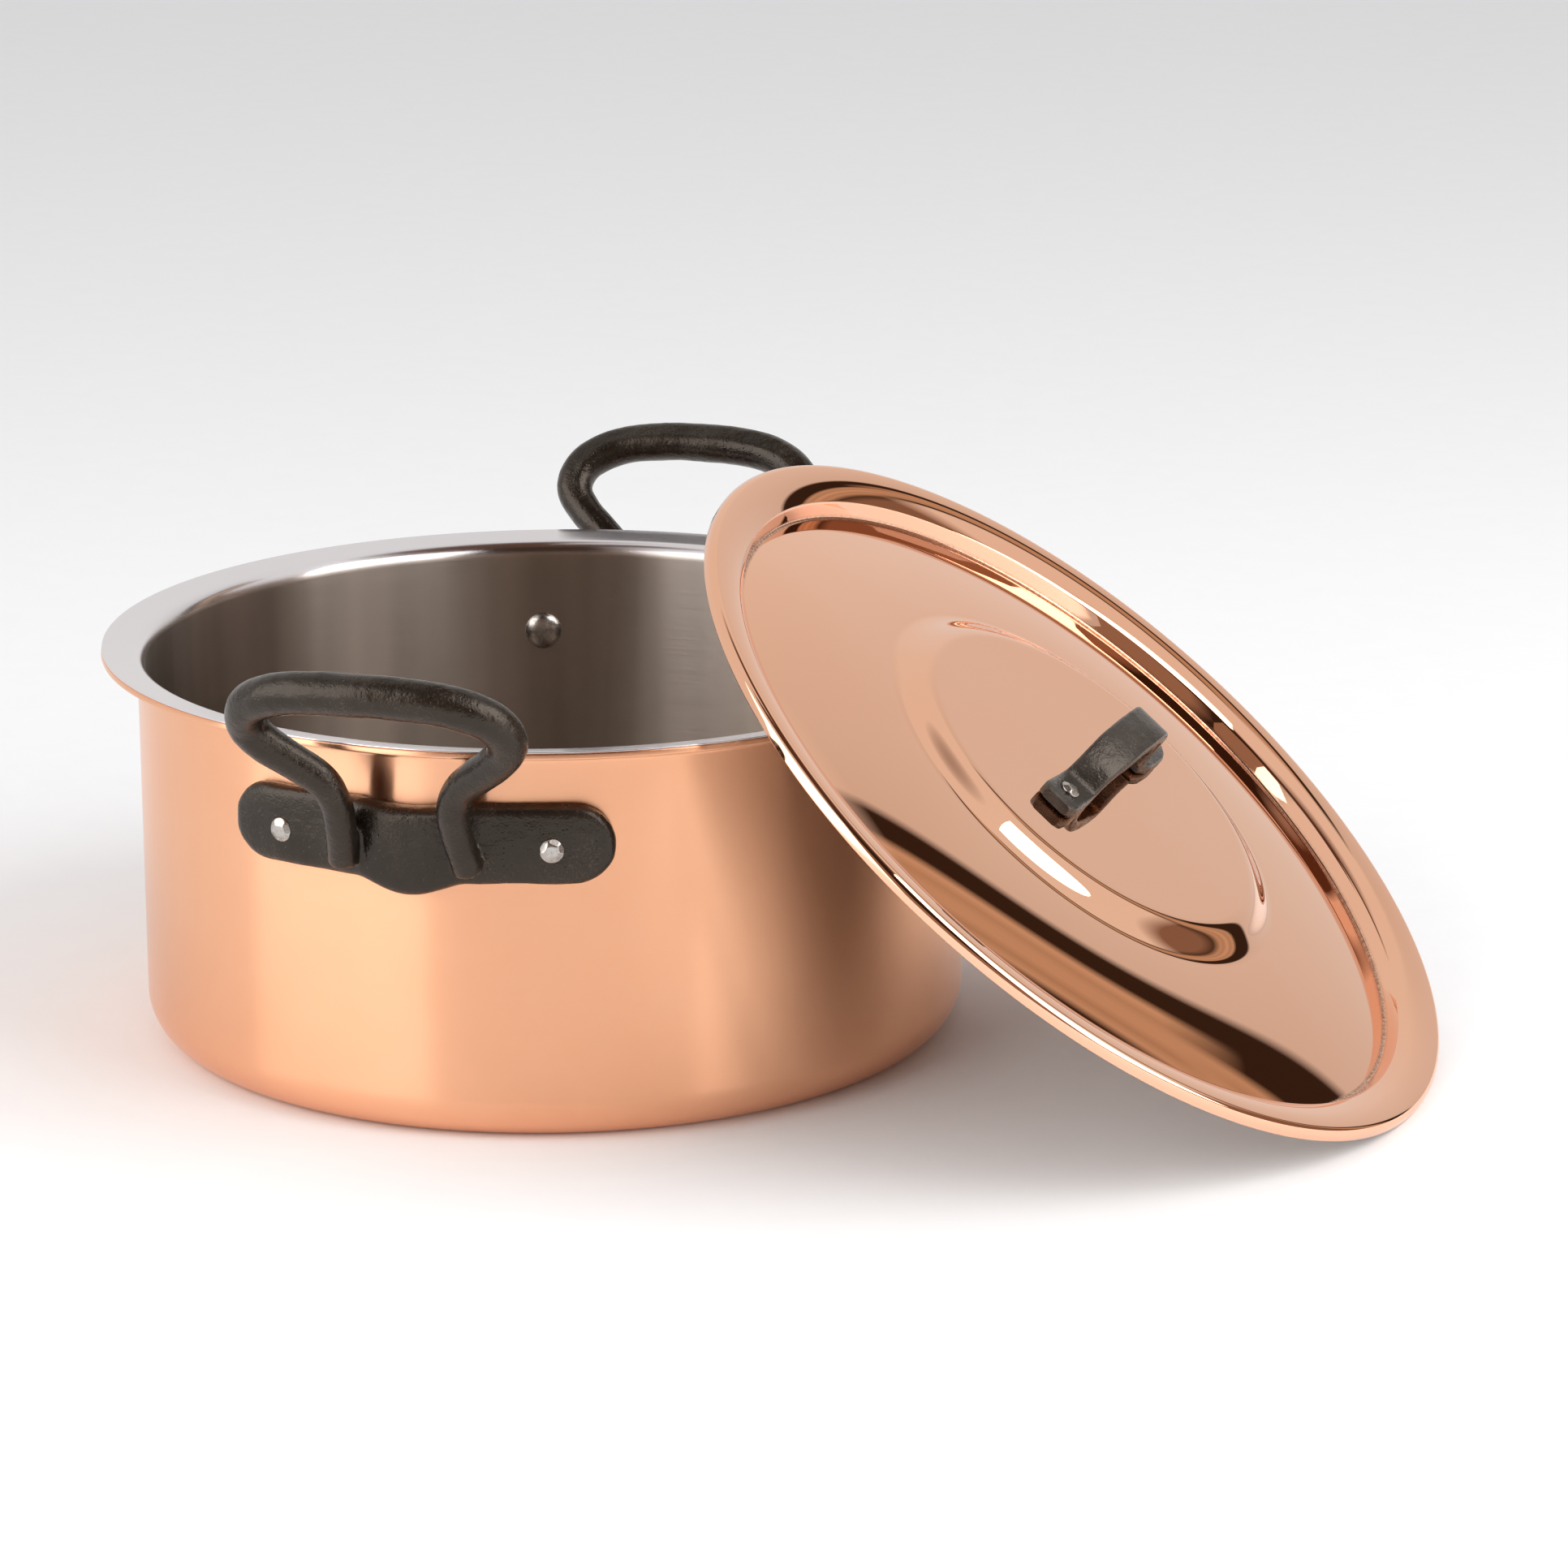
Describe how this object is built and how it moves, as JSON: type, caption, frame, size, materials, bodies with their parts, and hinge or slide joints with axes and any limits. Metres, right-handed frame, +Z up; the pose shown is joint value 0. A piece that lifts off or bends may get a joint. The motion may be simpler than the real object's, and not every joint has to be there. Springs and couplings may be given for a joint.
{
  "type": "saucepan with lid",
  "caption": "Round copper saucepan with a steel lining, a flared lip and riveted iron side handles; its convex copper lid, with a riveted iron strap handle, leans on the lip.",
  "frame": {"origin": "centre of the pan's flat base, on the surface it stands on", "axes": "+Z up along the pan's axis; the side handles lie along Y, the front one towards -Y; the lid leans on the lip towards +X"},
  "size_m": [0.4002, 0.336, 0.1699],
  "materials": {
    "copper": "polished copper, finely brushed around the wall",
    "steel_lining": "satin stainless",
    "rivet_steel": "bright stainless",
    "iron": "dark, slightly glossy casting"
  },
  "bodies": {
    "pan": {"pan_copper_shell": "copper", "pan_steel_lining": "steel_lining", "front_handle": "iron", "rear_handle": "iron", "front_rivet_left": "rivet_steel", "front_rivet_right": "rivet_steel", "rear_rivet_left": "rivet_steel", "rear_rivet_right": "rivet_steel"},
    "lid": {"lid_copper_shell": "copper", "lid_steel_lining": "steel_lining", "lid_handle": "iron", "lid_rivet_near": "rivet_steel", "lid_rivet_far": "rivet_steel"}
  },
  "joints": [
    {"name": "lid_lift", "type": "slide", "parent": "pan", "child": "lid", "axis": [0.6306, -0.0596, 0.7738], "range_m": [0, 0.15]}
  ]
}
